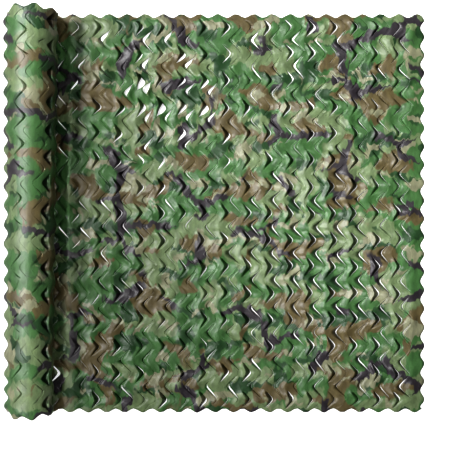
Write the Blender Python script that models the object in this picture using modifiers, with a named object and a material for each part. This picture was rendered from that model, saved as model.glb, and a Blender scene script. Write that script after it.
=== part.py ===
"""Camouflage netting, 1.5 m wide, lying on a flat surface with its left end rolled up.

The net is one cloth, cut with rows of short wavy slits and opened out, so that it lies in zigzag bands that rise
and fall. Two solids hold it: the laid sheet with its slits cut through, and the wound roll. The sheet runs in
under the roll, where it meets the roll's outermost turn edge to edge.

Metres, +Z up. +Y runs across the net's width, +X from the roll to the free end. The origin is the middle of the
whole thing's base.
"""

import math

import bmesh
import bpy

# Outline
NET_WIDTH = 1.500  # across the net, from crest to crest of its scalloped edges
NET_REACH = 1.565  # from the roll's outermost bulge to the crests of the free end
SCALLOP_PITCH = NET_WIDTH / 22
SCALLOP_DEPTH = 0.015
CLOTH = 0.002  # laid thickness of the cloth
SEAT = 0.0003  # gap that keeps touching solids apart

# The roll, which is fatter at its back end
RADIUS_FRONT = 0.080
RADIUS_BACK = 0.0906
LAYER = 0.0055  # one turn of the cloth on the roll
SIDE_BULGE = 0.015  # how far the slit bands stand out at the roll's left side
TOP_BULGE = 0.003
BULGE_AT = math.radians(270)
BULGE_SPREAD = math.radians(42)
BULGE_CREST_Y = 0.5055
FOOT_HALF = 0.015  # half of the flat spot that the roll rests on
FOOT_STEP = 0.010  # width of the outermost turn's own foot, beside the sheet's end
STEPS_TO_BULGE = 21  # facets from the foot's right, over the top, to the left side
STEPS_TO_FOOT = 6  # facets from the left side down to the foot
STATIONS_PER_SCALLOP = 4
ROLL_END_SCALLOPS = 8

# The rings of the roll's end faces: share of the radius, and how far the turns lie back from the end
END_RINGS = (
    {"share": 0.72, "back": 0.008},
    {"share": 0.40, "back": 0.007},
    {"share": 0.12, "back": 0.009},
)

# The laid sheet: slits of the real size, at about 1.36 times their real pitch
BANDS = 27  # zigzag bands from the roll's foot to the free end
ROWS_PER_WAVE = 4
WAVES = 11  # whole zigzags across the width
ZIGZAG = 0.020  # half the width of a zigzag's sweep
SLIT_GAPE = 0.016  # how far a slit stands open at its middle
FIRST_CUT_BAND = 2
RELIEF = 0.014  # from the valleys to the ridges of the bands
LEAF_LIFT = 0.005  # how far a slit's right lip stands above its left lip
EDGE_CALM = 0.5  # share of the relief left at the net's edges
FADE_START = 0.050  # from the roll's axis, where the relief begins
FADE_LENGTH = 0.100
BACK_CREST_X = -0.2001
FRONT_CREST_X = -0.2095
END_CREST_Y = 0.6630
LONG_EDGE_CUTS = 3
FREE_END_CUTS = 1

LEFT = -NET_REACH / 2
RIGHT = NET_REACH / 2
HALF_WIDTH = NET_WIDTH / 2
ROWS = WAVES * ROWS_PER_WAVE

LEAF_GREEN = (0.105, 0.190, 0.075, 1.0)
SAGE_GREEN = (0.200, 0.280, 0.130, 1.0)


def smooth(value):
    """A smooth step from 0 at 0 to 1 at 1."""
    t = min(max(value, 0.0), 1.0)
    return t * t * (3 - 2 * t)


def scallop(along, crest):
    """Depth of a scalloped edge behind its crests, at a place along it."""
    turn = 2 * math.pi * (along - crest) / SCALLOP_PITCH
    return SCALLOP_DEPTH / 2 * (1 - math.cos(turn))


def roll_radius(y):
    """The roll's radius at y, which grows evenly from its front end to its back end."""
    share = (y + HALF_WIDTH) / NET_WIDTH
    return RADIUS_FRONT + share * (RADIUS_BACK - RADIUS_FRONT)


def axis_x(y):
    """Where the roll's axis is at y. Its left side stays in line, so the axis slants."""
    return LEFT + SIDE_BULGE + TOP_BULGE + roll_radius(y)


def sheet_start(y):
    """The sheet's edge under the roll at y."""
    return axis_x(y) - FOOT_HALF


# ---- the roll -------------------------------------------------------------------------------------------------


def bulge(angle, y):
    """How far the bands stand out from the roll. Angles run from straight down, through the right side and the top."""
    side = SIDE_BULGE * math.exp(-(((angle - BULGE_AT) / BULGE_SPREAD) ** 2))
    clear_of_foot = smooth(math.sin(angle / 2) * 4 - 0.6)
    swell = 0.5 + 0.5 * math.cos(2 * math.pi * (y - BULGE_CREST_Y) / SCALLOP_PITCH)
    return (side + TOP_BULGE) * swell * clear_of_foot


def roll_section(y):
    """The roll's outline at y as (angle, x, z) points: round from the right of its foot to the left, then the foot."""
    radius = roll_radius(y)
    centre_x = axis_x(y)
    inner = radius - LAYER * BULGE_AT / (2 * math.pi)
    foot_z = CLOTH + SEAT
    centre_z = foot_z + math.sqrt(inner**2 - FOOT_HALF**2)
    outer = math.hypot(centre_z, FOOT_HALF + FOOT_STEP)
    start = math.asin(FOOT_HALF / inner)
    end = 2 * math.pi - math.asin((FOOT_HALF + FOOT_STEP) / outer)
    angles = [start + (BULGE_AT - start) * k / STEPS_TO_BULGE for k in range(STEPS_TO_BULGE)]
    angles += [BULGE_AT + (end - BULGE_AT) * k / STEPS_TO_FOOT for k in range(STEPS_TO_FOOT + 1)]
    points = []
    for angle in angles:
        if angle < BULGE_AT:
            reach = inner + (radius - inner) * (angle - start) / (BULGE_AT - start)
        else:
            reach = radius + (outer - radius) * (angle - BULGE_AT) / (end - BULGE_AT)
        reach += bulge(angle, y)
        points.append((angle, centre_x + reach * math.sin(angle), centre_z - reach * math.cos(angle)))
    step_x = centre_x - FOOT_HALF - SEAT
    points.append((end, step_x, 0.0))
    points.append((end, step_x, foot_z))
    return centre_x, centre_z, points


def ring_at(mesh, y, share, end_sign=0, back=0.0):
    """One ring of the roll. At an end its points follow the cloth's scalloped edge, or lie back inside it."""
    centre_x, centre_z, points = roll_section(y)
    ring = []
    for angle, x, z in points:
        along = y
        if end_sign:
            depth = SCALLOP_DEPTH / 2 * (1 - math.cos(ROLL_END_SCALLOPS * angle))
            along = end_sign * (HALF_WIDTH - (back if back else depth))
        place = (centre_x + share * (x - centre_x), along, centre_z + share * (z - centre_z))
        ring.append(mesh.verts.new(place))
    return ring


def join_rings(mesh, first, second):
    """The faces between two rings of the same count."""
    count = len(first)
    for k in range(count):
        after = (k + 1) % count
        mesh.faces.new((first[k], first[after], second[after], second[k]))


def make_roll(collection, material):
    """The wound part of the net, lofted from sections along its length and closed by dished ends."""
    mesh = bmesh.new()
    step = SCALLOP_PITCH / STATIONS_PER_SCALLOP
    reach = HALF_WIDTH - 2 * SCALLOP_DEPTH
    first = math.ceil((-reach - BULGE_CREST_Y) / step)
    last = math.floor((reach - BULGE_CREST_Y) / step)
    rings = [ring_at(mesh, -HALF_WIDTH, end["share"], -1, end["back"]) for end in reversed(END_RINGS)]
    rings.append(ring_at(mesh, -HALF_WIDTH, 1.0, -1))
    rings += [ring_at(mesh, BULGE_CREST_Y + k * step, 1.0) for k in range(first, last + 1)]
    rings.append(ring_at(mesh, HALF_WIDTH, 1.0, 1))
    rings += [ring_at(mesh, HALF_WIDTH, end["share"], 1, end["back"]) for end in END_RINGS]
    for before, after in zip(rings, rings[1:]):
        join_rings(mesh, before, after)
    mesh.faces.new(rings[0])
    mesh.faces.new(rings[-1])
    bmesh.ops.recalc_face_normals(mesh, faces=mesh.faces)
    return finish_object("rolled_net", mesh, collection, material)


# ---- the laid sheet -------------------------------------------------------------------------------------------


def is_slit(band, row):
    """Whether a slit is centred on this crossing: neighbouring band lines are slit half a zigzag apart."""
    if not FIRST_CUT_BAND <= band < BANDS or not 0 < row < ROWS:
        return False
    return row % ROWS_PER_WAVE == (0 if band % 2 == 0 else ROWS_PER_WAVE // 2)


def sheet_point(band, row, lip):
    """Where a crossing of the zigzag grid lies. Lip is -1 or 1 on a slit's left or right lip, and otherwise 0."""
    wave = math.cos(2 * math.pi * row / ROWS_PER_WAVE)
    y = (row / ROWS - 0.5) * (NET_WIDTH - SCALLOP_DEPTH)
    start = sheet_start(y)
    end = RIGHT - SCALLOP_DEPTH / 2
    calm = smooth(band / 2) * smooth(BANDS - band)
    x = start + (end - start) * band / BANDS - ZIGZAG * wave * calm + lip * SLIT_GAPE / 2
    if row in (0, ROWS):
        crest = FRONT_CREST_X if row == 0 else BACK_CREST_X
        y = math.copysign(HALF_WIDTH - scallop(x, crest), y)
    if band == BANDS:
        x = RIGHT - scallop(y, END_CREST_Y)
    ridge = 0.5 - 0.5 * math.cos(math.pi * band) * wave
    from_edge = min(row, ROWS - row, BANDS - band)
    height = RELIEF * ridge * (EDGE_CALM + (1 - EDGE_CALM) * smooth(from_edge))
    height *= smooth((x - axis_x(y) - FADE_START) / FADE_LENGTH)
    return x, y, height + (LEAF_LIFT if lip > 0 else 0.0)


def make_sheet(collection, material):
    """The laid cloth: a grid bent into zigzag bands, slit along its lines, its edges drawn out into scallops."""
    mesh = bmesh.new()
    bmesh.ops.create_grid(mesh, x_segments=BANDS, y_segments=ROWS, size=0.5)

    def crossing(vert):
        return (vert.co.x + 0.5) * BANDS, (vert.co.y + 0.5) * ROWS

    def ends_of(edge):
        return [tuple(round(c) for c in crossing(v)) for v in edge.verts]

    cuts = [e for e in mesh.edges if ends_of(e)[0][0] == ends_of(e)[1][0] and any(is_slit(*p) for p in ends_of(e))]
    bmesh.ops.split_edges(mesh, edges=cuts)
    long_edges = [e for e in mesh.edges if all(p[1] == 0 for p in ends_of(e)) or all(p[1] == ROWS for p in ends_of(e))]
    bmesh.ops.subdivide_edges(mesh, edges=long_edges, cuts=LONG_EDGE_CUTS)
    free_end = [e for e in mesh.edges if e.is_boundary and all(v.co.x > 0.5 - 1e-5 for v in e.verts)]
    bmesh.ops.subdivide_edges(mesh, edges=free_end, cuts=FREE_END_CUTS)

    places = []
    for vert in mesh.verts:
        band, row = crossing(vert)
        near_band, near_row = round(band), round(row)
        lip = 0
        if abs(band - near_band) < 1e-3 and is_slit(near_band, near_row):
            middle = sum(f.calc_center_median().x for f in vert.link_faces) / len(vert.link_faces)
            lip = 1 if middle > vert.co.x else -1
        if abs(row - near_row) < 1e-3:
            row = near_row
        if abs(band - near_band) < 1e-3:
            band = near_band
        places.append(sheet_point(band, row, lip))
    for vert, place in zip(mesh.verts, places):
        vert.co = place

    sheet = finish_object("laid_net", mesh, collection, material)
    thicken = sheet.modifiers.new("cloth thickness", "SOLIDIFY")
    thicken.thickness = CLOTH
    thicken.offset = 1.0
    return sheet


# ---- the object -----------------------------------------------------------------------------------------------


def make_material(name, colour):
    """Coated polyester cloth in one middle colour of its print."""
    material = bpy.data.materials.new(name)
    material.use_nodes = True
    shader = material.node_tree.nodes["Principled BSDF"]
    shader.inputs["Base Color"].default_value = colour
    shader.inputs["Roughness"].default_value = 0.55
    shader.inputs["Metallic"].default_value = 0.0
    return material


def finish_object(name, mesh, collection, material):
    """Makes a named object of the mesh, with its material, in the collection."""
    data = bpy.data.meshes.new(name)
    mesh.to_mesh(data)
    mesh.free()
    data.materials.append(material)
    data.shade_smooth()
    made = bpy.data.objects.new(name, data)
    collection.objects.link(made)
    return made


def main():
    for old in list(bpy.data.objects):
        bpy.data.objects.remove(old)
    collection = bpy.data.collections.new("camouflage_netting")
    bpy.context.scene.collection.children.link(collection)
    make_roll(collection, make_material("rolled_cloth", SAGE_GREEN))
    make_sheet(collection, make_material("laid_cloth", LEAF_GREEN))


main()
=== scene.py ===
"""Looks of a leaf-cut camouflage net, 1.5 m wide: its loose end lies flat and the rest is wound up.

One cloth makes all of it. Places on the cloth are (u, v): u runs along the net in metres and equals X where
the net lies flat, and v runs across it and equals Y. Past the roll's foot u goes on to fall, and the cloth
winds up round the left side, over the top and down the right side, turn inside turn.
"""

import logging
import math
from dataclasses import dataclass, field
from enum import Enum

import bpy
import numpy as np
from mathutils import Matrix, Quaternion, Vector


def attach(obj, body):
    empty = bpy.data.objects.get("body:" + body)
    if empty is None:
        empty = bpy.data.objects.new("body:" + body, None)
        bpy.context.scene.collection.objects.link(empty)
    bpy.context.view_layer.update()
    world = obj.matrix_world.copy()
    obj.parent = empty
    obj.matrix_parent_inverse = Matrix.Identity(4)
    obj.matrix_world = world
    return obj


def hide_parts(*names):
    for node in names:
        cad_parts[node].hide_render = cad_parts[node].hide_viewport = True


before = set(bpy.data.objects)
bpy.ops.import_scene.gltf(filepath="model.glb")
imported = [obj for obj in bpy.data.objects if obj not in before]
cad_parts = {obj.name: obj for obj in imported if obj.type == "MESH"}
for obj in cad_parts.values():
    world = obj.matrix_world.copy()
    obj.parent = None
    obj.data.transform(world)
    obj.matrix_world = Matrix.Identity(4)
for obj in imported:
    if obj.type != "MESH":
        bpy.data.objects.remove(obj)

Array = np.ndarray
Tree = bpy.types.NodeTree
Socket = bpy.types.NodeSocket
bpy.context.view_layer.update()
LOG = logging.getLogger("netting")


# ---- small helpers -------------------------------------------------------------------------------


def smooth_step(value: Array) -> Array:
    """Returns 0 below 0, 1 above 1, and 3t^2 - 2t^3 between them."""
    t = np.clip(value, 0.0, 1.0)
    return t * t * (3.0 - 2.0 * t)


def linear(colour: str) -> tuple[float, float, float, float]:
    """Turns an sRGB hex colour to linear light.

    Args:
        colour: six hex digits after a hash.

    Returns:
        Red, green, blue and an alpha of 1.
    """
    parts = [int(colour[i : i + 2], 16) / 255 for i in (1, 3, 5)]
    lin = [p / 12.92 if p <= 0.04045 else ((p + 0.055) / 1.055) ** 2.4 for p in parts]
    return (lin[0], lin[1], lin[2], 1.0)


def add_node(tree: Tree, kind: str, links: dict | None = None, **settings: object) -> bpy.types.Node:
    """Adds a node with its settings and links.

    Args:
        tree: the node tree to add to.
        kind: the node's type name.
        links: input name or number, to an output socket or a plain value.
        **settings: attributes of the node.

    Returns:
        The new node.
    """
    made = tree.nodes.new(kind)
    for name, value in settings.items():
        setattr(made, name, value)
    for name, value in (links or {}).items():
        socket = made.inputs[name]
        if isinstance(value, Socket):
            tree.links.new(value, socket)
        else:
            socket.default_value = value
    return made


@dataclass(frozen=True)
class SmoothField:
    """A smooth uneven field over the cloth: a sum of sine waves of random direction, length and phase.

    Its value is about the size of `amount`.
    """

    seed: int
    length: float
    amount: float
    waves: int = 9
    stretches: tuple[float, float] = (0.7, 1.6)

    def at(self, u: Array, v: Array) -> Array:
        """Works out the field.

        Args:
            u: places along the cloth.
            v: places across it.

        Returns:
            amount * sqrt(2 / waves) * the sum of sin(k . (u, v) + phase).
        """
        draw = np.random.default_rng(self.seed)
        total = np.zeros(np.broadcast(u, v).shape)
        for _ in range(self.waves):
            turn = draw.uniform(0, 2 * math.pi)
            stretch = draw.uniform(*self.stretches)
            phase = draw.uniform(0, 2 * math.pi)
            rate = 2 * math.pi / (self.length * stretch)
            total = total + np.sin(rate * (math.cos(turn) * u + math.sin(turn) * v) + phase)
        return self.amount * math.sqrt(2 / self.waves) * total


# ---- the cloth's shape ---------------------------------------------------------------------------


@dataclass(frozen=True)
class Outline:
    """The whole net's outer sizes, and the scallops that its edges are cut in."""

    half_width: float = 0.75
    free_end: float = 0.7825
    scallop: float = 1.5 / 22
    scallop_depth: float = 0.015
    back_crest: float = -0.2001
    front_crest: float = -0.2095
    end_crest: float = 0.6630

    def depth(self, along: Array, crest: float | Array) -> Array:
        """How far a scalloped edge lies behind its crests: half the depth times 1 - cos of its place."""
        return self.scallop_depth / 2 * (1 - np.cos(2 * math.pi * (along - crest) / self.scallop))

    def across(self, u: Array, v: Array, reach: float = 0.035) -> Array:
        """Draws the rows near the long edges in to the scallops.

        Args:
            u: places along the cloth.
            v: places across it.
            reach: how far from the edge the rows begin to be squeezed.

        Returns:
            v, drawn in by the scallop's depth in proportion to the way from there to the edge, so that the
            last row follows the scalloped line.
        """
        depth = self.depth(u, np.where(v > 0, self.back_crest, self.front_crest))
        share = np.clip((np.abs(v) - (self.half_width - reach)) / reach, 0, 1)
        return np.sign(v) * (np.abs(v) - depth * share)

    def end(self, v: Array) -> Array:
        """The scalloped free end's u at v."""
        return self.free_end - self.depth(v, self.end_crest)


@dataclass(frozen=True)
class Lattice:
    """The cut lines of the opened net.

    Each line runs across the net in a rounded zigzag. Even lines are slit round their left apexes and odd
    lines round their right apexes, so that a slit is always beside the bridge of the line next to it.
    """

    spacing: float = 0.04027
    period: float = 0.1
    sweep: float = 0.0185
    line_zero: float = 0.2292
    left_apex: float = -0.25
    half_of_notch: float = 0.040
    half_of_point: float = 0.034
    notch_shift: float = -0.006
    point_shift: float = -0.0015
    apex_sharpness: float = 0.07

    def phase(self, v: Array) -> Array:
        """The zigzag's phase at v, 0 at a left apex."""
        return 2 * math.pi * (v - self.left_apex) / self.period

    def zigzag(self, v: Array) -> Array:
        """The lines' swing.

        Args:
            v: places across the net.

        Returns:
            -sweep * (cos p + k cos 3p) / (1 + k), with p the phase and k the apexes' sharpness.
        """
        p = self.phase(v)
        k = self.apex_sharpness
        return -self.sweep * (np.cos(p) + k * np.cos(3 * p)) / (1 + k)

    def line_u(self, line: Array) -> Array:
        """The middle u of a line."""
        return self.line_zero + self.spacing * line

    def nearest_slit(self, line: Array, v: Array) -> tuple[Array, Array, Array]:
        """Numbers the slits of each line.

        Args:
            line: whole line numbers.
            v: places across the net.

        Returns:
            The number of the nearest slit, its middle's v, and the way there in half slits.
        """
        even = line % 2 == 0
        first = self.left_apex + np.where(even, self.notch_shift, self.point_shift + self.period / 2)
        half = np.where(even, self.half_of_notch, self.half_of_point)
        number = np.rint((v - first) / self.period)
        middle = first + number * self.period
        return number.astype(int), middle, (v - middle) / half


@dataclass(frozen=True)
class Patch:
    """A part of the net, as a soft ellipse, where the slits open and stand more or less than usual.

    `gape` is added to the usual gape and `slide` to how far the right lips slide back past the left ones,
    both in metres. `stand` is added to the usual share of the lips' heights, `raised` lifts the right
    tongues' points, and `calm` makes the slits more alike.
    """

    u: float
    v: float
    reach_u: float
    reach_v: float
    gape: float = 0.0
    slide: float = 0.0
    stand: float = 0.0
    raised: float = 0.0
    calm: float = 0.0

    def weight(self, u: Array, v: Array) -> Array:
        """exp of minus the squared distance, in reaches."""
        return np.exp(-(((u - self.u) / self.reach_u) ** 2) - ((v - self.v) / self.reach_v) ** 2)


PATCHES = (
    Patch(-0.31, 0.54, 0.19, 0.17, gape=0.005, slide=-0.0240, stand=0.2, raised=0.012),
    Patch(-0.12, 0.36, 0.15, 0.13, gape=0.003, slide=-0.0140, stand=0.1, raised=0.005),
    Patch(0.35, -0.10, 0.26, 0.24, slide=0.0008, stand=0.25, calm=1.0),
    Patch(0.50, -0.30, 0.25, 0.16, calm=0.5),
    Patch(-0.20, -0.42, 0.26, 0.20, gape=-0.0015, stand=-0.2),
    Patch(-0.62, 0.0, 0.10, 0.80, gape=-0.004, stand=-0.2),
    Patch(-0.60, -0.62, 0.05, 0.14, gape=0.009),
    Patch(0.60, 0.40, 0.12, 0.36, gape=-0.002, stand=-0.15),
    Patch(0.25, 0.62, 0.20, 0.12, gape=0.003),
)


@dataclass
class Slits:
    """How each slit stands.

    Pulled open, the cloth bends down to the floor at both lips. At the left of a slit it does so along a
    crease: a sharp one across the point of an odd line's tongue, and a soft one before an even line's notch.
    Heights and lengths are in metres. Each slit has six draws between 0 and 1: how far it opens, slides and
    stands, how much more it opens on one arm, how high its right lip lifts, and which arm of it stands more.
    """

    lattice: Lattice
    half_width: float = 0.75
    first_line: int = -36
    last_line: int = 14
    last_cut_line: int = 12
    most_slits: int = 24
    seed: int = 7
    # The usual slit.
    gape_of_notch: float = 0.0024
    gape_of_point: float = 0.0026
    least_gape: float = 0.0004
    slide_of_notch: float = 0.0012
    slide_of_point: float = 0.0006
    right_lip: float = 0.0015
    crease_of_point: float = 0.0185
    crease_of_notch: float = 0.0085
    flap_of_point: float = 0.0185
    flap_of_notch: float = 0.0200
    least_flap: float = 0.0035
    narrowest_flap: float = 0.4
    soft_of_point: float = 0.0010
    soft_of_notch: float = 0.0040
    most_soft: float = 0.45
    least_down: float = 0.05
    uncut_edge: float = 0.006
    # How a lip's gape, its drop and its lift die away towards the slit's ends: powers of 1 - away^2.
    gape_power: float = 0.9
    drop_power: float = 0.5
    lift_power: float = 0.7
    # How uneven the slits are where no patch calms them.
    most_calm: float = 0.85
    opened_slope: float = 1.9
    opened_drop: float = 0.55
    opened_range: tuple[float, float] = (0.03, 1.3)
    wide_from: float = 0.32
    wide_span: float = 0.45
    widest: float = 2.0
    uneven_slide: float = 0.010
    least_slide: float = 0.1
    flat_notches: float = 0.45
    flat_points: float = 0.15
    shown_span: float = 0.3
    stand_shut: float = 0.45
    stand_by_opening: float = 0.4
    arm_bias: float = 0.7
    arm_spread: float = 1.2
    most_arm: float = 1.8
    gape_bias: float = 0.5
    gape_spread: float = 2.4
    lift_spread: float = 1.6
    rise_calm: float = 1.3
    rise_uneven: float = 2.2
    # Round the roll: all of it, its low left side, and its right flank.
    roll_blend: float = 0.7
    roll_gape: float = 0.0014
    roll_slide: float = 0.0040
    roll_jump: float = 0.0002
    low_left_at: float = math.radians(85)
    low_left_reach: float = math.radians(28)
    low_left_gape: float = 0.009
    low_left_sunk: float = 0.004
    flank_at: float = math.radians(225)
    flank_reach: float = math.radians(20)
    flank_gape: float = 0.010
    flank_flap: float = 0.030
    flank_tuck: tuple[float, float] = (0.030, 0.044)
    tuck_between: tuple[float, float] = (0.15, 0.45)

    def __post_init__(self) -> None:
        """Draws the random share of each slit once."""
        count = self.last_line - self.first_line + 1
        self.draws = np.random.default_rng(self.seed).random((count, self.most_slits, 6))

    def on_lines(self, lines: Array, v: Array, wound: Array) -> dict[str, Array]:
        """Works out the slits of some lines at some rows.

        Args:
            lines: line numbers, as a column.
            v: rows, as a row.
            wound: angle round the roll at each line and row, 0 where the net lies flat.

        Returns:
            Arrays of line by row: `half`, half the gape; `slide`, half the slide; `down`, the share of its
            height that the cloth loses at the lips; `raised`, the height of a lifted right lip; `crease`, the
            height added at the left flap's crease; `flap`, the crease's distance from the lip; `soft`, half
            the crease's width; `rise`, the power by which the band rises to its crease; `even`, whether the
            line is even; `sunk`, how far the lips sink into the roll; `tuck`, how far the left tongue is
            tucked into it; `cut`, where the cloth is cut through.
        """
        number, middle, away = self.lattice.nearest_slit(lines, v)
        draw = self.draws[lines - self.first_line, number + self.most_slits // 2]
        u = self.lattice.line_u(lines)
        weights = [patch.weight(u, middle) for patch in PATCHES]

        def local(name: str) -> Array:
            """The patches' sum of one quality, each by its weight at the slit's middle."""
            return sum(w * getattr(patch, name) for w, patch in zip(weights, PATCHES))

        even = lines % 2 == 0
        calm = np.clip(local("calm"), 0, self.most_calm)
        wild = 1 - calm
        opened = np.clip(self.opened_slope * draw[..., 0] - self.opened_drop, *self.opened_range)
        opened = calm + wild * opened
        wide_open = smooth_step((draw[..., 0] - self.wide_from) / self.wide_span) * self.widest
        gape = np.where(even, self.gape_of_notch, self.gape_of_point) * opened + local("gape") * wide_open
        slide = np.where(even, self.slide_of_notch, self.slide_of_point) + local("slide")
        slide = slide + self.uneven_slide * wild * (draw[..., 1] - 0.5)
        slide = slide * np.clip(opened, self.least_slide, 1)
        stand = self._standing(even, away, calm, opened, draw) * (1 + local("stand"))
        crease = np.where(even, self.crease_of_notch, self.crease_of_point) * stand
        lift = 1 + self.lift_spread * wild * (draw[..., 4] - 0.5)
        raised = (self.right_lip + even * local("raised")) * lift

        on_roll = smooth_step(wound / self.roll_blend)
        flank = np.exp(-(((wound - self.flank_at) / self.flank_reach) ** 2)) * ~even
        low_left = np.exp(-(((wound - self.low_left_at) / self.low_left_reach) ** 2)) * draw[..., 3]
        wound_gape = self.roll_gape * opened + self.flank_gape * flank + self.low_left_gape * low_left
        gape = gape + on_roll * (wound_gape - gape)
        slide = slide + on_roll * (self.roll_slide * (draw[..., 1] - 0.5) - slide)
        sunk = on_roll * (self.roll_jump + self.low_left_sunk * low_left)
        bias = np.where(even, -self.gape_bias, self.gape_bias) * (1 - on_roll)
        one_arm = np.clip(1 + wild * (self.gape_spread * (draw[..., 3] - 0.5) - bias) * away, 0, 2)

        half_slit = np.where(even, self.lattice.half_of_notch, self.lattice.half_of_point)
        clear_of_edge = np.abs(middle) < self.half_width - (half_slit + self.uncut_edge)
        cut = (np.abs(away) < 1) & clear_of_edge & (lines <= self.last_cut_line)
        shape = np.where(cut, np.clip(1 - away**2, 0, 1), 0.0)
        flap = self.narrowest_flap + (1 - self.narrowest_flap) * np.clip(stand, 0, 1)
        flap = np.where(even, self.flap_of_notch, self.flap_of_point) * flap
        flap = flap + on_roll * flank * (self.flank_flap - flap)
        flap = self.least_flap + (flap - self.least_flap) * shape
        soft = np.where(even, self.soft_of_notch, self.soft_of_point)
        tuck = np.interp(np.abs(middle), self.tuck_between, self.flank_tuck)
        return {
            "half": np.clip(gape, self.least_gape, None) / 2 * shape**self.gape_power * one_arm,
            "slide": slide / 2 * shape**self.gape_power,
            "down": np.clip(stand, self.least_down, 1.0) * (1 - on_roll) * shape**self.drop_power,
            "raised": raised * (1 - on_roll) * shape**self.lift_power,
            "crease": crease * (1 - on_roll) * shape**self.lift_power,
            "flap": flap,
            "soft": np.minimum(soft, self.most_soft * flap),
            "rise": self.rise_calm + self.rise_uneven * wild,
            "even": np.broadcast_to(even, shape.shape),
            "sunk": sunk * shape**self.lift_power,
            "tuck": tuck * on_roll * flank * shape**self.drop_power,
            "cut": cut,
        }

    def _standing(self, even: Array, away: Array, calm: Array, opened: Array, draw: Array) -> Array:
        """How much of its full height a slit's left flap stands.

        Args:
            even: whether the line is even.
            away: way from the slit's middle, in half slits.
            calm: how alike the slits are.
            opened: the slit's share of the usual gape.
            draw: the slit's six draws.

        Returns:
            The calm share plus the rest times what the draws give: some slits lie flat, an open one stands
            higher, and one arm stands more than the other, in proportion to the way along it.
        """
        wild = 1 - calm
        flat = np.where(even, self.flat_notches, self.flat_points)
        shown = smooth_step((draw[..., 2] - flat) / self.shown_span)
        bias = np.where(even, -self.arm_bias, self.arm_bias)
        arm = 1 + wild * (bias + self.arm_spread * (draw[..., 5] - 0.5)) * away
        share = calm + wild * shown * (self.stand_shut + self.stand_by_opening * opened)
        return share * np.clip(arm, 0, self.most_arm)


@dataclass(frozen=True)
class Winding:
    """How the cloth leaves the floor and winds up: a spiral round an axis that slants a little.

    The roll is thicker at its back end, and its left side stays in line. The outer turn has slipped back down
    towards the foot, most at the back end. Both ends are drawn in a little at the left side and the right,
    and the turns inside are dented along the right side, where the outer turn's slits open.
    """

    half_width: float = 0.75
    left_side: float = -0.7645
    radius_front: float = 0.080
    radius_back: float = 0.0906
    turn: float = 0.0049
    core: float = 0.015
    clear: float = 0.0004
    slip_front: float = 0.004
    slip_back: float = -0.030
    slip_front_until: float = -0.15
    slip_span: float = 0.75
    slip_rise: float = 0.28
    slip_held_until: float = 0.36
    slip_fade: float = 0.16
    end_reach: float = 0.15
    left_draw: float = 0.018
    left_until: float = math.radians(100)
    left_fade: float = math.radians(55)
    right_draw: float = 0.008
    right_from: float = math.radians(200)
    right_rise: float = math.radians(40)
    drawn_from: float = 0.5
    drawn_rise: float = 1.2
    dent: float = 0.042
    dent_at: float = math.radians(232)
    dent_reach: float = math.radians(34)

    def radius(self, v: Array) -> Array:
        """The outermost turn's radius at v, growing evenly from the front to the back end."""
        back = (v + self.half_width) / (2 * self.half_width)
        return self.radius_front + back * (self.radius_back - self.radius_front)

    def foot(self, v: Array) -> Array:
        """Where the cloth leaves the floor, straight under the axis."""
        return self.left_side + self.radius(v)

    def angle(self, u: Array, v: Array) -> Array:
        """How far round the roll a place lies.

        The spiral's radius falls by `turn` a turn, so the length wound at angle a is R a - turn a^2 / (4 pi).

        Args:
            u: place along the cloth.
            v: place across it.

        Returns:
            That formula solved for a, in radians from the foot.
        """
        length = np.clip(self.foot(v) - u, 0, None)
        radius = self.radius(v)
        inside = np.clip(radius**2 - self.turn * length / math.pi, 0, None)
        return (radius - np.sqrt(inside)) * 2 * math.pi / self.turn

    def slipped(self, u: Array, v: Array) -> Array:
        """Slides places on the outer turn round its top: by an even S up to the full slip and back to none.

        Args:
            u: place along the cloth.
            v: place across it.

        Returns:
            The slid u.
        """
        length = self.foot(v) - u
        back = smooth_step((v - self.slip_front_until) / self.slip_span)
        full = self.slip_front + (self.slip_back - self.slip_front) * back
        fade = smooth_step((length - self.slip_held_until) / self.slip_fade)
        return u + full * smooth_step(length / self.slip_rise) * (1 - fade)

    def rounded(self, v: Array, angle: Array) -> Array:
        """Draws the rows near the roll's ends in at its left and its right side.

        Args:
            v: place across the cloth.
            angle: angle round the roll.

        Returns:
            v drawn in by the two sides' amounts, each an even S of the angle, in proportion to how near its
            row is to the end.
        """
        turned = np.mod(angle, 2 * math.pi)
        right = self.right_draw * smooth_step((turned - self.right_from) / self.right_rise)
        left = self.left_draw * (1 - smooth_step((turned - self.left_until) / self.left_fade))
        share = np.clip((np.abs(v) - (self.half_width - self.end_reach)) / self.end_reach, 0, 1)
        drawn = (right + left) * smooth_step(angle / self.drawn_rise) * share
        return np.sign(v) * (np.abs(v) - np.where(angle > self.drawn_from, drawn, 0.0))

    def wound_length(self) -> float:
        """Length of cloth in the roll at its middle, from the foot to the core."""
        return float(math.pi * (self.radius(0.0) ** 2 - self.core**2) / self.turn)

    def place(self, u: Array, v: Array, proud: Array) -> tuple[Array, Array]:
        """Carries the cloth onto the floor and round the roll.

        Args:
            u: place along the cloth.
            v: place across it.
            proud: height above the floor, or how far out from the roll's spiral.

        Returns:
            X and Z. On the floor they are u and the height. On the roll X is the axis minus r sin a, and Z
            the axis' height minus r cos a.
        """
        angle = self.angle(u, v)
        radius = self.radius(v)
        reach = radius - self.turn * angle / (2 * math.pi) + proud
        wound = u < self.foot(v)
        x = np.where(wound, self.foot(v) - reach * np.sin(angle), u)
        z = np.where(wound, radius - reach * np.cos(angle), proud)
        return x, np.maximum(z, 0.0) + self.clear


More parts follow.
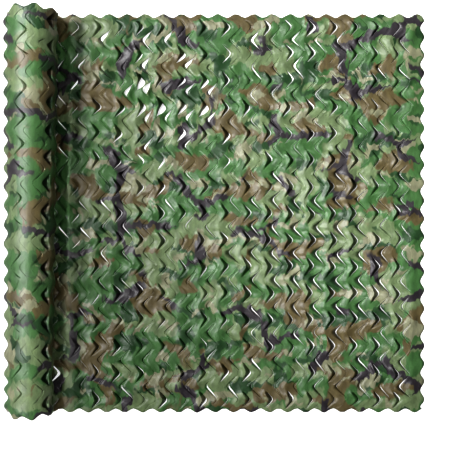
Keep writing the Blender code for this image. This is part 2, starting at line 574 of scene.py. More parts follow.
@dataclass
class Relief:
    """How the bands of cloth rise and fall between the slits."""

    lattice: Lattice
    winding: Winding
    half_width: float = 0.75
    flat_end: float = 0.775
    edge_reach: float = 0.045
    edge_share: float = 0.4
    foot_flat: float = 0.02
    foot_reach: float = 0.10
    middle: float = 0.0090
    wild_middle: float = 0.5
    ridge: float = 0.0065
    wild_share: float = 0.35
    share_range: tuple[float, float] = (0.04, 1.0)
    calm_smooths: float = 0.7
    roll_ridge: float = 0.0001
    floor_keeps: float = 1.2
    floor_fade: float = 0.5
    side_bulge: float = 0.015
    top_bulge: float = 0.0012
    bulge_spread: float = math.radians(38)
    bulge_crest: float = 0.5055
    bulge_pitch: float = 1.5 / 22
    flank_bulge: float = 0.010
    flank_at: float = math.radians(265)
    flank_spread: float = math.radians(25)
    creases: SmoothField = field(default_factory=lambda: SmoothField(21, 0.075, 0.0021))
    swells: SmoothField = field(default_factory=lambda: SmoothField(22, 0.45, 0.0015))
    share: SmoothField = field(default_factory=lambda: SmoothField(23, 0.20, 0.28))

    def strength(self, u: Array, v: Array) -> Array:
        """Share of its full height that the relief has.

        Args:
            u: place along the cloth.
            v: place across it.

        Returns:
            The product of even S curves: none under the roll, all in the middle, less along the free edges.
        """
        from_foot = smooth_step((u - self.winding.foot(v) - self.foot_flat) / self.foot_reach)
        from_side = smooth_step((self.half_width - np.abs(v)) / self.edge_reach)
        from_end = smooth_step((self.flat_end - u) / self.edge_reach)
        return from_foot * (self.edge_share + (1 - self.edge_share) * from_side * from_end)

    def at(self, line: Array, u: Array, v: Array) -> Array:
        """Height of the bands without their lips.

        Middle height minus the ridge height times cos(pi w) cos p, with w the line number and p the zigzag's
        phase, so the valleys lie on the slits and the ridges on the bridges. Uneven creases and swells are
        added.

        Args:
            line: line number, with the share of the band past it.
            u: place along the cloth.
            v: place across it.

        Returns:
            The height in metres.
        """
        calm = np.clip(sum(patch.weight(u, v) * patch.calm for patch in PATCHES), 0, 1)
        share = np.clip(self.wild_share + self.share.at(u, v), *self.share_range)
        ridge = self.ridge * (calm + (1 - calm) * share)
        middle = self.middle * (self.wild_middle + (1 - self.wild_middle) * calm)
        wave = middle - ridge * np.cos(math.pi * line) * np.cos(self.lattice.phase(v))
        return wave + self.creases.at(u, v) * (1 - self.calm_smooths * calm) + self.swells.at(u, v)

    def on_roll(self, line: Array, angle: Array, v: Array) -> Array:
        """How far the cloth stands out from the spiral.

        Args:
            line: line number, with the share of the band past it.
            angle: angle round the roll.
            v: place across the cloth.

        Returns:
            The bands' wave, as on the floor but lower, plus bulges down the roll's left side and its right
            flank: each is exp of minus the squared angle from its middle, in spreads, times a wave along the
            roll. All of it fades out where the roll touches the floor.
        """
        wave = 0.5 - 0.5 * np.cos(math.pi * line) * np.cos(self.lattice.phase(v))
        clear_of_floor = smooth_step(self.floor_keeps - np.cos(angle)) * smooth_step(angle / self.floor_fade)
        swell = 0.5 + 0.5 * np.cos(2 * math.pi * (v - self.bulge_crest) / self.bulge_pitch)
        turned = np.mod(angle, 2 * math.pi)
        side = self.side_bulge * np.exp(-(((turned - math.pi / 2) / self.bulge_spread) ** 2))
        flank = self.flank_bulge * np.exp(-(((turned - self.flank_at) / self.flank_spread) ** 2))
        flank = flank * (0.5 + 0.5 * np.cos(self.lattice.phase(v)))
        return (self.roll_ridge * wave + (side + self.top_bulge) * swell + flank) * clear_of_floor


@dataclass
class CutCloth:
    """A run of the slit cloth between two cut lines, as a mesh grid with its slits open.

    Places across a band are c, from 0 at its left line to 1 at its right line.
    """

    outline: Outline
    lattice: Lattice
    slits: Slits
    winding: Winding
    relief: Relief
    rows: int = 200
    columns_to_crease: tuple[float, float] = (0.4, 0.8)
    column_past_crease: float = 0.32
    lips_part_power: float = 1.6
    right_lip_reach: float = 0.42
    right_lip_power: float = 1.4
    right_lip_drop: float = 0.85
    left_lip_drop: float = 0.97
    raised_reach: float = 0.6
    notch_falls_by: float = 0.8
    point_fall_power: float = 2.2
    sunk_power: int = 6
    sunk_from: float = 0.6
    tuck_steepness: float = 4.0
    end_columns: int = 8
    end_lip_reach: float = 0.625
    end_settles_from: float = 0.3
    end_height: float = 0.15
    drift_within: float = 0.70
    drift_fade: float = 0.1
    drift_u: SmoothField = field(default_factory=lambda: SmoothField(31, 0.30, 0.0034))
    drift_v: SmoothField = field(default_factory=lambda: SmoothField(32, 0.30, 0.0030))

    def build(
        self, name: str, first: int, last: int, to_free_end: bool, lip_share: float = 0.0
    ) -> bpy.types.Object:
        """Makes the mesh object of the bands between two lines.

        Args:
            name: the piece's name.
            first: the line that it starts at.
            last: the line that it ends at, or that its last whole band ends at.
            to_free_end: whether cloth runs on from the last line to the free end.
            lip_share: breadth of a narrow column along each lip, as a share of the band; 0 leaves it out. On
                the roll it keeps the shading even up to the lips.

        Returns:
            The object, with a UV map that holds (u, v) in metres.
        """
        v = np.linspace(-self.outline.half_width, self.outline.half_width, self.rows + 1)
        bands = np.arange(first, last)
        lines = np.arange(first, last + 1)
        line_u = self.lattice.line_u(lines)[:, None] + self.lattice.zigzag(v)[None, :]
        wound = self.winding.angle(self.winding.slipped(line_u, v[None, :]), v[None, :])
        slits = self.slits.on_lines(lines[:, None], v[None, :], wound)

        # Axes of the arrays that follow: band, column within the band, row. A column runs along each crease.
        fold = 1 - slits["flap"][1:] / self.lattice.spacing
        soft = slits["soft"][1:] / self.lattice.spacing
        past = self.column_past_crease + (1 - self.column_past_crease) * fold
        before = [share * fold for share in self.columns_to_crease]
        c = [0 * fold, *before, fold - soft, fold + soft, past, 1 + 0 * fold]
        if lip_share:
            c[1:1] = [lip_share + 0 * fold]
            c[-1:-1] = [1 - lip_share * (1 - fold)]
        c = np.stack(c, axis=1)
        w = bands[:, None, None] + c
        row = np.broadcast_to(v[None, None, :], c.shape)
        rest_u = self.lattice.line_u(w) + self.lattice.zigzag(row)
        right_of = {k: a[:-1, None, :] for k, a in slits.items()}
        left_of = {k: a[1:, None, :] for k, a in slits.items()}
        near_left, near_right = (1 - c) ** self.lips_part_power, c**self.lips_part_power
        u = rest_u + right_of["half"] * near_left - left_of["half"] * near_right
        slid = row + right_of["slide"] * near_left - left_of["slide"] * near_right
        places = self._places(w, u, rest_u, slid, *self._lips(right_of, left_of, c, fold[:, None, :]))
        uv = np.stack([rest_u, row], axis=-1)

        # A band's first column is the last one of the band before it, but for the rows where a slit parts
        # them.
        index = np.arange(c.size).reshape(c.shape)
        joined = ~slits["cut"][1:-1]
        index[1:, 0, :] = np.where(joined, index[:-1, -1, :], index[1:, 0, :])
        grids = [(index, places, uv)]
        if to_free_end:
            grids.append(self._end_strip(last, slits, v, index))
        return self._mesh(name, grids)

    def _lips(
        self, right_of: dict[str, Array], left_of: dict[str, Array], c: Array, fold: Array
    ) -> tuple[Array, Array, Array]:
        """How the slits on a band's two sides shape it.

        Args:
            right_of: the slits on the band's left side, whose right lips it holds.
            left_of: the slits on its right side, whose left lips it holds.
            c: place across the band, 0 to 1.
            fold: place of the crease.

        Returns:
            The share of its height that the cloth keeps, the height that the crease and a raised point add to
            it, and how far the lips sink into the roll. Past a point's crease the flap falls steeply at first
            and then ever less, as (1 - s) to the power `point_fall_power`, with s the share of its width.
            Before a notch it falls in an even S.
        """
        s = np.clip((c - fold) / (1 - fold), 0, 1)
        fallen = np.where(
            left_of["even"], smooth_step(s / self.notch_falls_by), 1 - (1 - s) ** self.point_fall_power
        )
        near_right_lip = np.clip(1 - c / self.right_lip_reach, 0, 1) ** self.right_lip_power
        kept = 1 - self.right_lip_drop * right_of["down"] * near_right_lip
        kept = kept * (1 - self.left_lip_drop * left_of["down"] * fallen)
        ridge = np.where(c < fold, np.clip(c / fold, 0, 1) ** left_of["rise"], 1 - fallen)
        added = left_of["crease"] * ridge + right_of["raised"] * np.clip(1 - c / self.raised_reach, 0, 1)
        sunk = right_of["sunk"] * (1 - c) ** self.sunk_power + left_of["sunk"] * c**self.sunk_power
        return kept, added, sunk + left_of["tuck"] * smooth_step(self.tuck_steepness * s)

    def _places(
        self, w: Array, u: Array, rest_u: Array, v: Array, kept: Array, added: Array, sunk: Array
    ) -> Array:
        """Carries cloth places to space: the drift, the scalloped edges, the bands, the lips and the winding.

        Args:
            w: line number, with the share of the band past it.
            u: place along the cloth, with the slits open.
            rest_u: the same with the slits shut.
            v: place across it.
            kept: share of its height that the cloth keeps.
            added: height added to it.
            sunk: how far it sinks into the roll.

        Returns:
            X, Y and Z along a last axis.
        """
        u = u + self.drift_u.at(rest_u, v) * self.relief.strength(rest_u, v)
        inside = smooth_step((self.drift_within - np.abs(v)) / self.drift_fade)
        across = self.outline.across(u, v) + self.drift_v.at(rest_u, v) * inside
        u = self.winding.slipped(u, v)
        angle = self.winding.angle(u, v)
        across = self.winding.rounded(across, angle)
        on_floor = (np.maximum(self.relief.at(w, u, v), 0.0) * kept + added) * self.relief.strength(u, v)
        on_roll = self.relief.on_roll(w, angle, v) - sunk * smooth_step(angle - self.sunk_from)
        proud = np.where(angle > 0, on_roll, on_floor)
        x, z = self.winding.place(u, v, proud)
        return np.stack([x, across, z], axis=-1)

    def _end_strip(
        self, last: int, slits: dict[str, Array], v: Array, index: Array
    ) -> tuple[Array, Array, Array]:
        """The cloth from the last cut line to the free end, its columns spaced evenly between them.

        Args:
            last: the last cut line.
            slits: the slits of all the lines.
            v: the rows.
            index: vertex numbers of the bands before it.

        Returns:
            Its vertex numbers, places and (u, v). Its height falls by an even S to the share `end_height`.
        """
        c = np.linspace(0, 1, self.end_columns + 1)[:, None]
        line = self.lattice.line_u(np.array(last)) + self.lattice.zigzag(v)
        start = line + slits["half"][-1]
        u = start[None, :] + c * (self.outline.end(v) - start)[None, :]
        row = np.broadcast_to(v[None, :], u.shape)
        w = last + (u - line) / self.lattice.spacing
        near_lip = np.clip(1 - c / self.end_lip_reach, 0, 1) ** self.right_lip_power
        kept = 1 - self.right_lip_drop * slits["down"][-1][None, :] * near_lip
        standing = 1 - smooth_step((c - self.end_settles_from) / (1 - self.end_settles_from))
        height = self.end_height + (1 - self.end_height) * standing
        places = self._places(w, u, u, row, kept, 0 * c, 0 * c)
        places[..., 2] = places[..., 2] * height + self.winding.clear
        places[-1, :, 0] = self.outline.end(v)
        own = index.max() + 1 + np.arange(u.size).reshape(u.shape)
        own[0] = np.where(slits["cut"][-1], own[0], index[-1, -1])
        return own[None], places[None], np.stack([u, row], axis=-1)[None]

    def _mesh(self, name: str, grids: list[tuple[Array, Array, Array]]) -> bpy.types.Object:
        """Joins vertex grids to one mesh.

        Args:
            name: the object's name.
            grids: for each grid its vertex numbers, places and (u, v).

        Returns:
            The object. Each face takes the four corners of a grid's cell, and unused vertices are left out.
        """
        places = np.concatenate([p.reshape(-1, 3) for _, p, _ in grids])
        cloth = np.concatenate([q.reshape(-1, 2) for _, _, q in grids])
        cells = []
        for index, _, _ in grids:
            a, b = index[:, :-1, :-1], index[:, 1:, :-1]
            d, e = index[:, 1:, 1:], index[:, :-1, 1:]
            cells.append(np.stack([a, b, d, e], axis=-1).reshape(-1, 4))
        faces = np.concatenate(cells)
        used, small = np.unique(faces, return_inverse=True)
        return mesh_object(name, places[used], small.reshape(-1, 4), cloth[used])


def mesh_object(name: str, places: Array, faces: Array, cloth: Array) -> bpy.types.Object:
    """Puts arrays into a new mesh object.

    Args:
        name: the object's name.
        places: vertex places, count by 3.
        faces: vertex numbers, count by 4.
        cloth: the (u, v) of each vertex, kept as the UV map `cloth`.

    Returns:
        The object, smooth shaded and linked to the scene.
    """
    mesh = bpy.data.meshes.new(name)
    mesh.from_pydata(places.tolist(), [], faces.tolist())
    loops = np.empty(len(mesh.loops), dtype=np.int32)
    mesh.loops.foreach_get("vertex_index", loops)
    uv = mesh.uv_layers.new(name="cloth")
    uv.data.foreach_set("uv", cloth[loops].astype(np.float32).ravel())
    mesh.shade_smooth()
    mesh.update()
    made = bpy.data.objects.new(name, mesh)
    bpy.context.scene.collection.objects.link(made)
    return made


# ---- finishes ------------------------------------------------------------------------------------


@dataclass(frozen=True)
class Blotch:
    """One colour of the print.

    `shift` is where in the noise it lies, `size` its share of the print's blotch size, and `level` the noise
    level that it starts at.
    """

    colour: str
    shift: tuple[float, float, float]
    size: float
    level: float


@dataclass(frozen=True)
class PrintedOxford:
    """Coated polyester Oxford weave with a generic woodland print.

    To the eye it is dull, with the soft wide sheen of a thin coating (`coat`), a faint even grain for its
    threads (`weave`), and fine creases where it was handled (`crumple`). Lengths are in metres of cloth, and
    rates in waves of noise per metre. A twig's half width and its soft edge are shares of its cell.
    """

    name: str = "printed_polyester_oxford"
    sage: str = "#72855d"
    leaf: Blotch = Blotch("#48703f", (1.7, 0.4, 0.0), 1.0, 0.475)
    deep_leaf: Blotch = Blotch("#2c4c2b", (9.3, 7.7, 0.0), 0.62, 0.61)
    earth: Blotch = Blotch("#655a3b", (5.1, 2.2, 0.0), 0.8, 0.595)
    straw: Blotch = Blotch("#8a8b6f", (3.6, 8.2, 0.0), 0.5, 0.66)
    twig: str = "#363136"
    roughness: float = 0.46
    coat: float = 0.05
    coat_roughness: float = 0.36
    blotch: float = 0.135
    blotch_edge: float = 0.015
    print_scale: tuple[float, float, float] = (0.72, 1.0, 1.0)
    ragged_reach: tuple[float, float, float] = (0.07, 0.05, 0.0)
    ragged_rates: tuple[float, float] = (34.0, 13.0)
    ragged_turn: float = math.radians(35)
    twig_cell: float = 0.19
    twig_half: float = 0.070
    twig_edge: float = 0.012
    twig_bend: tuple[float, float, float] = (0.06, 0.06, 0.0)
    twig_bend_rate: float = 9.0
    twig_kept: tuple[float, float] = (0.50, 0.53)
    twig_kept_rate: float = 6.0
    mottle: tuple[float, float] = (0.76, 1.24)
    mottle_levels: tuple[float, float] = (0.3, 0.7)
    mottle_rates: tuple[float, float] = (55.0, 22.0)
    mottle_turn: float = math.radians(40)
    thread: float = 0.0022
    thread_uneven: float = 0.35
    weave: float = 0.12
    weave_depth: float = 0.0004
    crumple: float = 0.3
    crumple_rate: float = 70.0
    crumple_depth: float = 0.003

    def material(self) -> bpy.types.Material:
        """Builds the node material.

        Returns:
            The material. Its pattern reads the cloth's own UV map, in metres, and is drawn 1.4 times as long
            along the net as across it.
        """
        made = bpy.data.materials.new(self.name)
        made.use_nodes = True
        tree = made.node_tree
        tree.nodes.clear()
        cloth = add_node(tree, "ShaderNodeUVMap", uv_map="cloth").outputs["UV"]
        ragged = self._ragged(tree, cloth)
        stretched = add_node(tree, "ShaderNodeMapping", {"Vector": ragged, "Scale": self.print_scale})
        printed = stretched.outputs["Vector"]

        colour = self._flat_colour(tree, self.sage)
        for blotch in (self.leaf, self.deep_leaf, self.earth, self.straw):
            colour = self._blotch(tree, colour, printed, blotch)
        colour = self._twigs(tree, colour, printed)
        colour = self._mottle(tree, colour, cloth)

        shader = add_node(
            tree,
            "ShaderNodeBsdfPrincipled",
            {
                "Base Color": colour,
                "Roughness": self.roughness,
                "Coat Weight": self.coat,
                "Coat Roughness": self.coat_roughness,
                "Normal": self._surface(tree, cloth),
            },
        )
        add_node(tree, "ShaderNodeOutputMaterial", {"Surface": shader.outputs["BSDF"]})
        return made

    def _noise(
        self, tree: Tree, where: Socket, rate: float, detail: float, **sockets: float
    ) -> bpy.types.Node:
        """Adds a flat noise.

        Args:
            tree: the node tree.
            where: places.
            rate: waves per unit of the places.
            detail: number of finer layers.
            **sockets: further inputs, by name.

        Returns:
            The noise node.
        """
        links = {"Vector": where, "Scale": rate, "Detail": detail, **sockets}
        return add_node(tree, "ShaderNodeTexNoise", links, noise_dimensions="2D")

    def _streaks(self, tree: Tree, where: Socket, rates: tuple[float, float], turn: float) -> Socket:
        """Scales places unevenly, so that a noise over them runs in streaks.

        Args:
            tree: the node tree.
            where: places on the cloth.
            rates: waves per metre along and across the net. The streaks run the way of the lower rate.
            turn: turns the scaled places. It picks another part of the noise and leaves the streaks' way.

        Returns:
            The places to read a noise of one wave per unit at.
        """
        links = {"Vector": where, "Rotation": (0.0, 0.0, turn), "Scale": (*rates, 1.0)}
        return add_node(tree, "ShaderNodeMapping", links).outputs["Vector"]

    def _shifted(
        self, tree: Tree, where: Socket, noise: bpy.types.Node, reach: tuple[float, float, float]
    ) -> Socket:
        """Places plus the noise's colour times a reach, which shifts them unevenly."""
        links = {0: noise.outputs["Color"], 1: reach, 2: where}
        return add_node(tree, "ShaderNodeVectorMath", links, operation="MULTIPLY_ADD").outputs[0]

    def _ragged(self, tree: Tree, where: Socket) -> Socket:
        """Gives the blotches brushed, ragged edges.

        Args:
            tree: the node tree.
            where: places on the cloth.

        Returns:
            The places, shifted in streaks that run across the net. Nine tenths of the shift lies within 13 mm
            of its mean along the net and within 9 mm of it across.
        """
        streaks = self._streaks(tree, where, self.ragged_rates, self.ragged_turn)
        noise = self._noise(tree, streaks, 1.0, 2.0, Roughness=0.5)
        return self._shifted(tree, where, noise, self.ragged_reach)

    def _flat_colour(self, tree: Tree, colour: str) -> Socket:
        """A plain colour as a socket."""
        made = add_node(tree, "ShaderNodeRGB")
        made.outputs[0].default_value = linear(colour)
        return made.outputs[0]

    def _mask(self, tree: Tree, value: Socket, low: float, high: float) -> Socket:
        """Makes a mask with a soft edge.

        Args:
            tree: the node tree.
            value: what it is made from.
            low: where it is 0.
            high: where it is 1. It may be under low, and then the mask falls as the value grows.

        Returns:
            The mask: an even S between the two.
        """
        made = add_node(
            tree,
            "ShaderNodeMapRange",
            {"Value": value, "From Min": low, "From Max": high},
            interpolation_type="SMOOTHSTEP",
        )
        return made.outputs["Result"]

    def _over(
        self, tree: Tree, under: Socket, mask: Socket | float, over: Socket | tuple, blend: str = "MIX"
    ) -> Socket:
        """Lays one colour over another.

        Args:
            tree: the node tree.
            under: the colour below.
            mask: how much of the upper colour shows.
            over: the upper colour, as a socket or as red, green, blue and alpha.
            blend: how they mix.

        Returns:
            The mixed colour.
        """
        made = add_node(tree, "ShaderNodeMix", data_type="RGBA", blend_type=blend)
        for number, value in ((0, mask), (6, under), (7, over)):
            if isinstance(value, Socket):
                tree.links.new(value, made.inputs[number])
            else:
                made.inputs[number].default_value = value
        return made.outputs[2]

    def _blotch(self, tree: Tree, under: Socket, where: Socket, blotch: Blotch) -> Socket:
        """Prints the blotches of one colour.

        Args:
            tree: the node tree.
            under: the print so far.
            where: places on the print.
            blotch: the colour, with its size and level.

        Returns:
            The print with them on it, where a noise is over their level.
        """
        moved = add_node(tree, "ShaderNodeMapping", {"Vector": where, "Location": blotch.shift})
        rate = 1 / (self.blotch * blotch.size)
        noise = self._noise(tree, moved.outputs["Vector"], rate, 1.5, Roughness=0.4, Distortion=0.3)
        low, high = blotch.level - self.blotch_edge, blotch.level + self.blotch_edge
        mask = self._mask(tree, noise.outputs["Fac"], low, high)
        return self._over(tree, under, mask, linear(blotch.colour))

    def _twigs(self, tree: Tree, under: Socket, where: Socket) -> Socket:
        """Prints dark forked twigs.

        Args:
            tree: the node tree.
            under: the print so far.
            where: places on the print.

        Returns:
            The print with them on it: bent lines between cells, kept only where another noise is high.
        """
        bend = self._noise(tree, where, self.twig_bend_rate, 2.0)
        cells = add_node(
            tree,
            "ShaderNodeTexVoronoi",
            {"Vector": self._shifted(tree, where, bend, self.twig_bend), "Scale": 1 / self.twig_cell},
            voronoi_dimensions="2D",
            feature="DISTANCE_TO_EDGE",
        )
        line = self._mask(tree, cells.outputs["Distance"], self.twig_half, self.twig_half - self.twig_edge)
        kept = self._noise(tree, where, self.twig_kept_rate, 1.0)
        share = self._mask(tree, kept.outputs["Fac"], *self.twig_kept)
        both = add_node(tree, "ShaderNodeMath", {0: line, 1: share}, operation="MULTIPLY")
        return self._over(tree, under, both.outputs[0], linear(self.twig))

    def _mottle(self, tree: Tree, under: Socket, where: Socket) -> Socket:
        """Shades the print unevenly, as ink on a weave.

        Args:
            tree: the node tree.
            under: the print.
            where: places on the cloth.

        Returns:
            The print, darker and lighter in fine streaks that run across the net.
        """
        streaks = self._streaks(tree, where, self.mottle_rates, self.mottle_turn)
        noise = self._noise(tree, streaks, 1.0, 3.0, Roughness=0.6)
        names = ("From Min", "From Max", "To Min", "To Max")
        levels = dict(zip(names, (*self.mottle_levels, *self.mottle)))
        grey = add_node(tree, "ShaderNodeMapRange", {"Value": noise.outputs["Fac"], **levels})
        shade = add_node(tree, "ShaderNodeCombineColor", {i: grey.outputs["Result"] for i in range(3)})
        return self._over(tree, under, 1.0, shade.outputs["Color"], "MULTIPLY")

    def _surface(self, tree: Tree, where: Socket) -> Socket:
        """Adds the fine relief.

        Args:
            tree: the node tree.
            where: places on the cloth.

        Returns:
            The surface's slope: a nearly even grid of dimples for the threads, drawn coarser than real ones
            so that it shows, and creases over it.
        """
        per_thread = (1 / self.thread, 1 / self.thread, 1.0)
        thread = add_node(tree, "ShaderNodeMapping", {"Vector": where, "Scale": per_thread})
        weave = add_node(
            tree,
            "ShaderNodeTexVoronoi",
            {"Vector": thread.outputs["Vector"], "Scale": 1.0, "Randomness": self.thread_uneven},
            voronoi_dimensions="2D",
        )
        crumple = self._noise(tree, where, self.crumple_rate, 3.0, Roughness=0.55)
        grain = {"Height": weave.outputs["Distance"], "Strength": self.weave, "Distance": self.weave_depth}
        fine = add_node(tree, "ShaderNodeBump", grain)
        creases = {
            "Height": crumple.outputs["Fac"],
            "Strength": self.crumple,
            "Distance": self.crumple_depth,
            "Normal": fine.outputs["Normal"],
        }
        return add_node(tree, "ShaderNodeBump", creases).outputs["Normal"]


# ---- the net -------------------------------------------------------------------------------------


class Hold(Enum):
    """How a piece of the cloth is held."""

    LAID = "laid"
    WOUND = "folded"


@dataclass
class Net:
    """The whole net: the laid end, the roll's outer turn and the turns inside it."""

    outline: Outline = field(default_factory=Outline)
    lattice: Lattice = field(default_factory=Lattice)
    winding: Winding = field(default_factory=Winding)
    laid_finish: PrintedOxford = field(default_factory=PrintedOxford)
    wound_finish: PrintedOxford = field(
        default_factory=lambda: PrintedOxford("taut_polyester_oxford", coat=0.12, crumple=0.2)
    )
    thickness: float = 0.0005
    seam_line: int = -23
    inner_line: int = -36
    inner_rows: int = 44
    inner_step: float = 0.018
    inner_back: float = 0.009
    inner_ripple: float = 0.0004
    ripple_rates: tuple[float, float] = (37.0, 5.0)
    dent_at_ends: float = 0.35
    dent_end_reach: float = 0.10
    lip_share: float = 0.05

    def build(self) -> list[bpy.types.Object]:
        """Builds and dresses the three pieces of cloth.

        Returns:
            The laid end, the outer turn and the inner turns.
        """
        slits = Slits(self.lattice)
        relief = Relief(self.lattice, self.winding)
        cloth = CutCloth(self.outline, self.lattice, slits, self.winding, relief)
        laid_cloth, wound_cloth = self.laid_finish.material(), self.wound_finish.material()
        laid = cloth.build("laid_cloth", self.seam_line, slits.last_cut_line, True)
        turn = cloth.build("outer_turn", self.inner_line, self.seam_line, False, self.lip_share)
        core = self.inner_turns()
        laid_length = self.outline.free_end - self.lattice.line_u(np.array(self.seam_line))
        turn_length = (self.seam_line - self.inner_line) * self.lattice.spacing
        core_length = self.winding.wound_length() - turn_length
        self.dress(laid, laid_cloth, "laid_net", Hold.LAID, float(laid_length))
        self.dress(turn, wound_cloth, "rolled_net", Hold.WOUND, turn_length)
        self.dress(core, wound_cloth, "rolled_net", Hold.WOUND, core_length)
        return [laid, turn, core]

    def inner_turns(self) -> bpy.types.Object:
        """The turns inside the outer one: uncut, with a faint ripple and scalloped ends.

        Returns:
            The object: the same spiral, wound on to the core. Its dent at the right side is exp of minus the
            squared angle from its middle, in reaches, times the squared share of the radius. The dent fades
            to the share `dent_at_ends` at both ends.
        """
        start = float(self.lattice.line_u(np.array(self.inner_line)))
        end = float(self.winding.foot(0.0)) - self.winding.wound_length()
        u = np.linspace(start, end, round((start - end) / self.inner_step) + 1)[::-1]
        reach = self.outline.half_width - self.inner_back
        v = np.linspace(-reach, reach, self.inner_rows + 1)
        uu, vv = np.meshgrid(u, v, indexing="ij")
        angle = self.winding.angle(uu, vv)
        radius = self.winding.radius(vv)
        share = (radius - self.winding.turn * angle / (2 * math.pi)) / radius
        off = (np.mod(angle, 2 * math.pi) - self.winding.dent_at) / self.winding.dent_reach
        inside = smooth_step((self.outline.half_width - np.abs(vv)) / self.dent_end_reach)
        inside = self.dent_at_ends + (1 - self.dent_at_ends) * inside
        along, aside = self.ripple_rates
        ripple = self.inner_ripple * np.sin(along * uu + aside * vv)
        x, z = self.winding.place(uu, vv, ripple - self.winding.dent * np.exp(-(off**2)) * share**2 * inside)
        across = self.winding.rounded(self.outline.across(uu, vv), angle)
        index = np.arange(uu.size).reshape(uu.shape)
        faces = np.stack([index[:-1, :-1], index[1:, :-1], index[1:, 1:], index[:-1, 1:]], axis=-1)
        places = np.stack([x, across, z], axis=-1).reshape(-1, 3)
        cloth = np.stack([uu, vv], axis=-1).reshape(-1, 2)
        return mesh_object("inner_turns", places, faces.reshape(-1, 4), cloth)

    def dress(
        self,
        piece: bpy.types.Object,
        material: bpy.types.Material,
        node: str,
        hold: Hold,
        length: float,
    ) -> None:
        """Args:
            piece: the cloth.
            material: its finish.
            node: the solid that it stands for.
            hold: how it is held.
            length: its flat length along the net.
        """
        piece.data.materials.append(material)
        solid = piece.modifiers.new("cloth thickness", "SOLIDIFY")
        solid.thickness = self.thickness
        solid.offset = 0.0
        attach(piece, "root")
        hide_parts(node)
        faces = len(piece.data.polygons)
        LOG.info("%s: %d faces, %.2f m of cloth, %s", piece.name, faces, length, hold.value)


# ---- the studio ----------------------------------------------------------------------------------


@dataclass(frozen=True)
class Panel:
    """A gridded panel light, whose light keeps within a few degrees of its aim.

    Its long side lies along Y, then turned by `roll` degrees about its beam.
    """

    at: tuple[float, float, float]
    aim: tuple[float, float, float]
    size: tuple[float, float]
    spread: float
    power: float
    roll: float = 0.0

    def build(self, name: str) -> None:
        """Adds the lamp.

        Args:
            name: its name.
        """
        light = bpy.data.lights.new(name, "AREA")
        light.shape = "RECTANGLE"
        light.size, light.size_y = self.size
        light.spread = math.radians(self.spread)
        light.energy = self.power
        back = (Vector(self.at) - Vector(self.aim)).normalized()
        along = Quaternion(back, math.radians(self.roll)) @ Vector((0.0, 1.0, 0.0))
        along = (along - back * along.dot(back)).normalized()
        lamp = bpy.data.objects.new(name, light)
        turned = Matrix((along, back.cross(along), back)).transposed().to_4x4()
        lamp.matrix_world = Matrix.Translation(self.at) @ turned
        lamp.visible_camera = False
        bpy.context.scene.collection.objects.link(lamp)


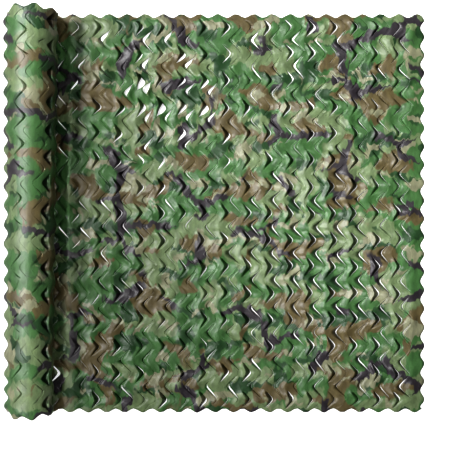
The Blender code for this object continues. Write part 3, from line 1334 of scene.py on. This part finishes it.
@dataclass(frozen=True)
class Studio:
    """A white floor, a soft key light from the left, a wide panel over the net and a weak even fill.

    Narrow strips light the roll's top and its right flank, and a weak one the shade beside it. The floor
    glows a little in the camera's own view alone, like a backlit sweep, so that it stays white in the gaps of
    the net without lighting the net from below.
    """

    camera_at: tuple[float, float, float] = (0.0695, -0.082, 3.5)
    lens: float = 71.2
    key_tilt: float = 40.0
    key_bearing: float = 168.0
    key_strength: float = 2.5
    key_angle: float = 20.0
    over_net: Panel = Panel((-1.38, 0.75, 2.35), (0.55, 0.34, 0.0), (1.6, 1.4), 20.0, 4.6, 25.0)
    over_roll: Panel = Panel((-1.165, 0.0, 1.045), (-0.71, 0.0, 0.13), (1.7, 0.14), 9.0, 0.14)
    over_flank: Panel = Panel((-0.95, 0.0, 1.12), (-0.635, 0.0, 0.13), (1.7, 0.08), 7.0, 0.28)
    in_shade: Panel = Panel((0.14, 0.0, 0.73), (-0.56, 0.0, 0.02), (1.7, 0.03), 5.0, 0.09)
    fill: float = 0.045
    floor_glow: float = 0.65
    floor_size: float = 14.0
    floor_colour: str = "#f4f4f2"
    floor_roughness: float = 0.9
    floor_gloss: float = 0.1

    def build(self) -> None:
        """Makes the floor, the lights and the camera."""
        scene = bpy.context.scene
        scene.view_settings.view_transform = "Standard"
        scene.view_settings.look = "Medium High Contrast"
        self._floor()
        self._sun("key", self.key_tilt, self.key_bearing, self.key_strength, self.key_angle)
        self.over_net.build("panel_over_net")
        self.over_roll.build("strip_over_roll")
        self.over_flank.build("strip_over_flank")
        self.in_shade.build("strip_in_shade")
        world = bpy.data.worlds.new("even_fill")
        world.use_nodes = True
        world.node_tree.nodes["Background"].inputs["Color"].default_value = (1.0, 1.0, 1.0, 1.0)
        world.node_tree.nodes["Background"].inputs["Strength"].default_value = self.fill
        scene.world = world
        lens = bpy.data.cameras.new("view")
        lens.lens = self.lens
        camera = bpy.data.objects.new("view", lens)
        camera.location = self.camera_at
        scene.collection.objects.link(camera)
        scene.camera = camera

    def _floor(self) -> None:
        """A plain pale floor at the level that the net lies on."""
        half = self.floor_size / 2
        mesh = bpy.data.meshes.new("floor")
        corners = [(-half, -half, 0), (half, -half, 0), (half, half, 0), (-half, half, 0)]
        mesh.from_pydata(corners, [], [(0, 1, 2, 3)])
        floor = bpy.data.objects.new("floor", mesh)
        bpy.context.scene.collection.objects.link(floor)
        # Matt paper has hardly any glint, so the floor stays one even white.
        paper = bpy.data.materials.new("matt_white_paper")
        paper.use_nodes = True
        shader = paper.node_tree.nodes["Principled BSDF"]
        shader.inputs["Base Color"].default_value = linear(self.floor_colour)
        shader.inputs["Roughness"].default_value = self.floor_roughness
        shader.inputs["Specular IOR Level"].default_value = self.floor_gloss
        tree = paper.node_tree
        seen = add_node(tree, "ShaderNodeLightPath").outputs["Is Camera Ray"]
        glow = add_node(tree, "ShaderNodeMath", {0: seen, 1: self.floor_glow}, operation="MULTIPLY")
        shader.inputs["Emission Color"].default_value = (1.0, 1.0, 1.0, 1.0)
        tree.links.new(glow.outputs[0], shader.inputs["Emission Strength"])
        mesh.materials.append(paper)

    def _sun(self, name: str, tilt: float, bearing: float, strength: float, angle: float) -> None:
        """Adds a wide, far light.

        Args:
            name: its name.
            tilt: degrees from straight above.
            bearing: degrees round from +X, seen from above, to where it comes from.
            strength: its irradiance, W/m2.
            angle: the angle that it fills, in degrees; a wide one casts soft shadows.
        """
        light = bpy.data.lights.new(name, "SUN")
        light.energy = strength
        light.angle = math.radians(angle)
        lamp = bpy.data.objects.new(name, light)
        lean, turn = math.radians(tilt), math.radians(bearing)
        out = math.sin(lean)
        toward = Vector((out * math.cos(turn), out * math.sin(turn), math.cos(lean)))
        lamp.rotation_mode = "QUATERNION"
        lamp.rotation_quaternion = toward.to_track_quat("Z", "Y")
        bpy.context.scene.collection.objects.link(lamp)


def main() -> None:
    """Builds the net and the studio."""
    logging.basicConfig(level=logging.INFO, format="%(name)s: %(message)s")
    Net().build()
    Studio().build()


if __name__ == "__main__":
    main()
